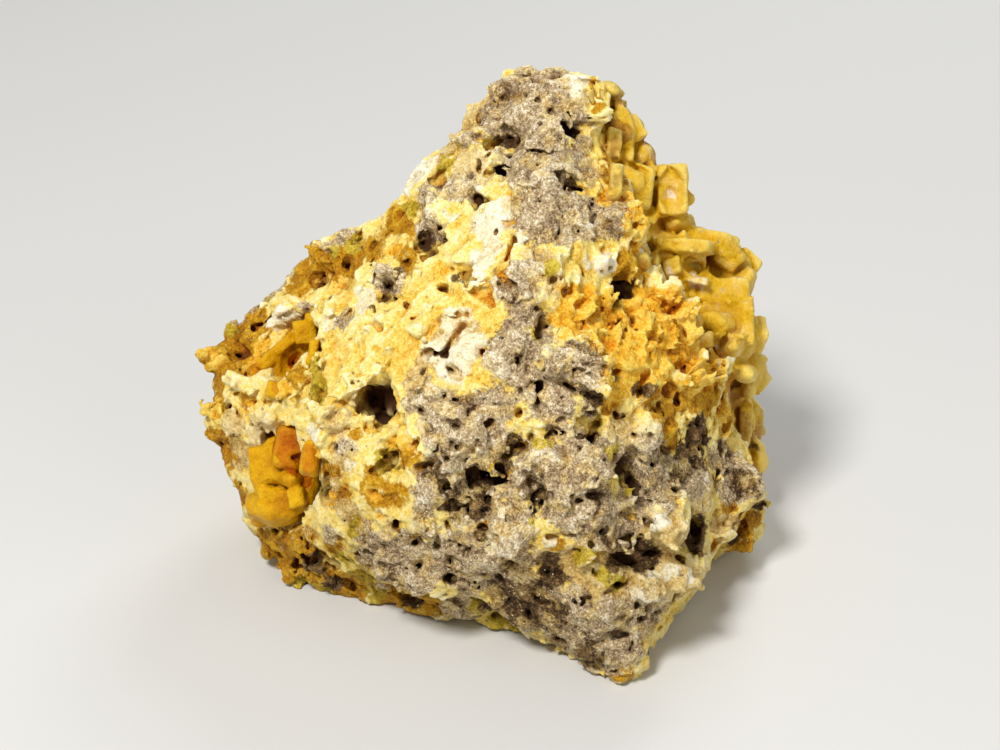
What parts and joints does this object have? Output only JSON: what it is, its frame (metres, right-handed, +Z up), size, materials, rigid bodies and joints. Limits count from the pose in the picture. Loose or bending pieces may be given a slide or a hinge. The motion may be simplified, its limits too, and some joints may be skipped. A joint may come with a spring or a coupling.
{
  "type": "smithsonite pseudomorph specimen",
  "caption": "Fist-sized ridged rock specimen with porous matrix and a crust of blunt yellow crystals, resting on its broken base.",
  "frame": {"origin": "middle of the bounding box's underside, in the plane the specimen rests on", "axes": "+Z up from the broken base to the summit, -Y towards the ridged front, +X towards the side with the yellow crystals"},
  "size_m": [0.111, 0.0968, 0.0951],
  "materials": {
    "matrix": "rough, porous, grey to ochre with a fine sparkle",
    "yellow_smithsonite": "waxy, slightly translucent",
    "amber_smithsonite": "waxy to glassy, translucent"
  },
  "bodies": {
    "root": {"matrix": "matrix", "pseudomorph_crust": "yellow_smithsonite", "upper_vug_crust": "amber_smithsonite", "lower_vug_crust": "amber_smithsonite"}
  },
  "joints": []
}
